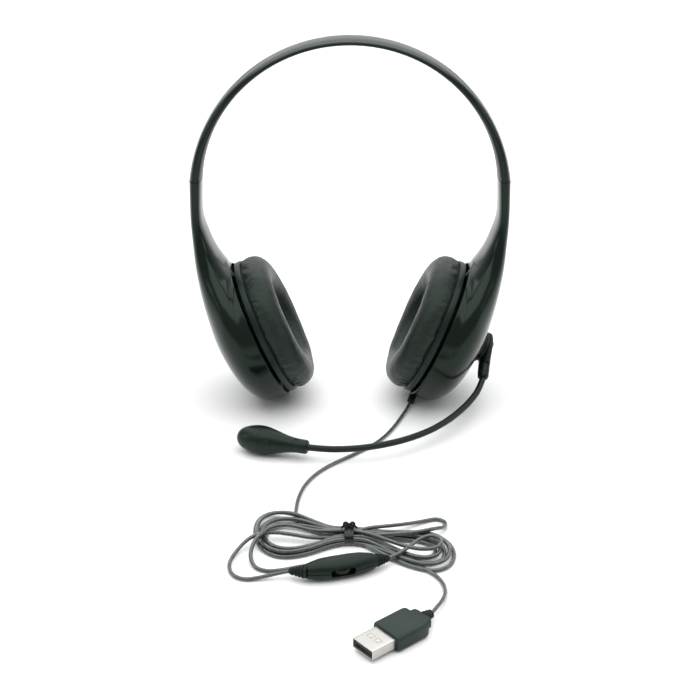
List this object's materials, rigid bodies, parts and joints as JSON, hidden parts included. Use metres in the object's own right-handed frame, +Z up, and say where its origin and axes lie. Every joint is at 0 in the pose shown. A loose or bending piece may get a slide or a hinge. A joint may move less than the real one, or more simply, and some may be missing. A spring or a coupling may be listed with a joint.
{
  "type": "office headset",
  "caption": "Stereo USB headset: arched band, round padded ear cups on sliding arms, swing-down boom microphone, tied thin cord with inline volume control and USB plug.",
  "frame": {"origin": "on the table, under the middle of the headset's box without its cord; the headset stands on its two cup shells and its microphone", "axes": "+Z up; +X towards the cup that carries the boom (the wearer's left when worn with the boom forward is -X seen from behind the part); +Y away from the cord, so the boom and cord lie towards -Y"},
  "size_m": [0.1632, 0.273, 0.1931],
  "materials": {
    "gloss_black": "moulded gloss black plastic",
    "satin_black": "moulded satin black plastic",
    "leatherette": "soft black leatherette, fine grain",
    "speaker_cloth": "dark acoustic cloth",
    "grille_plastic": "perforated dark plastic",
    "plated_steel": "zinc plated steel",
    "clear_film": "thin moulded film",
    "spring_steel": "ground spring steel",
    "boom_jacket": "satin black flexible jacket",
    "cord_jacket": "smoke grey clear jacket over dark cores",
    "tie_plastic": "black plastic coated wire",
    "soft_rubber": "soft black rubber",
    "control_plastic": "satin black plastic",
    "wheel_plastic": "knurled black plastic",
    "circuit_board": "green solder mask",
    "plug_plastic": "fine satin black plastic",
    "nickel_plate": "nickel plated steel",
    "tongue_plastic": "black insulator",
    "gold_contact": "gold flashed contact"
  },
  "bodies": {
    "right_earpiece": {"boom_washer": "satin_black", "control_board": "circuit_board", "control_bottom": "control_plastic", "control_relief_left": "soft_rubber", "control_relief_right": "soft_rubber", "control_screw": "spring_steel", "control_top": "control_plastic", "cord_bundle": "cord_jacket", "cord_headset_lead": "cord_jacket", "cord_plug_lead": "cord_jacket", "cord_strain_relief": "soft_rubber", "plug_board": "circuit_board", "plug_contacts": "gold_contact", "plug_overmould": "plug_plastic", "plug_shell": "nickel_plate", "plug_tongue": "tongue_plastic", "right_arm_shell": "gloss_black", "right_detent_spring": "spring_steel", "right_tilt_pins": "spring_steel", "right_tilt_yoke": "satin_black", "twist_tie": "tie_plastic"},
    "headband": {"band_inner_liner": "satin_black", "band_outer": "gloss_black", "band_spring": "spring_steel", "left_slider_tongue": "spring_steel", "right_slider_tongue": "spring_steel", "slider_screws": "spring_steel"},
    "left_earpiece": {"left_arm_shell": "gloss_black", "left_detent_spring": "spring_steel", "left_tilt_pins": "spring_steel", "left_tilt_yoke": "satin_black"},
    "left_cup": {"left_back_cover": "satin_black", "left_baffle": "satin_black", "left_cushion": "leatherette", "left_cushion_plate": "satin_black", "left_diaphragm": "clear_film", "left_driver_frame": "satin_black", "left_driver_magnet": "plated_steel", "left_grille": "grille_plastic", "left_scrim": "speaker_cloth"},
    "right_cup": {"right_back_cover": "satin_black", "right_baffle": "satin_black", "right_cushion": "leatherette", "right_cushion_plate": "satin_black", "right_diaphragm": "clear_film", "right_driver_frame": "satin_black", "right_driver_magnet": "plated_steel", "right_grille": "grille_plastic", "right_scrim": "speaker_cloth"},
    "boom": {"boom_axle": "spring_steel", "boom_gooseneck": "boom_jacket", "boom_hub": "satin_black", "boom_retainer": "satin_black", "boom_socket": "satin_black", "mic_element": "plated_steel", "mic_front_shell": "satin_black", "mic_rear_shell": "satin_black", "mic_sleeve": "satin_black"},
    "volume_wheel": {"volume_wheel": "wheel_plastic"}
  },
  "joints": [
    {"name": "right_slide", "type": "slide", "parent": "right_earpiece", "child": "headband", "axis": [0, 0, 1], "range_m": [0, 0.025]},
    {"name": "left_slide", "type": "slide", "parent": "headband", "child": "left_earpiece", "axis": [0, 0, -1], "range_m": [0, 0.025]},
    {"name": "left_cup_tilt", "type": "hinge", "parent": "left_earpiece", "child": "left_cup", "pos_m": [-0.05987, 0.01858, 0.03335], "axis": [0.0872, -0.9962, 0], "range_deg": [-2, 2]},
    {"name": "right_cup_tilt", "type": "hinge", "parent": "right_earpiece", "child": "right_cup", "pos_m": [0.05987, 0.01858, 0.03335], "axis": [-0.0872, -0.9962, 0], "range_deg": [-2, 2]},
    {"name": "boom_swing", "type": "hinge", "parent": "right_earpiece", "child": "boom", "pos_m": [0.07203, 0.01752, 0.02807], "axis": [-0.9143, 0.08, 0.3971], "range_deg": [0, 95]},
    {"name": "volume_turn", "type": "hinge", "parent": "right_earpiece", "child": "volume_wheel", "pos_m": [-0.00386, -0.15477, 0.0046], "axis": [0, 0, 1], "range_deg": [-140, 140]}
  ]
}
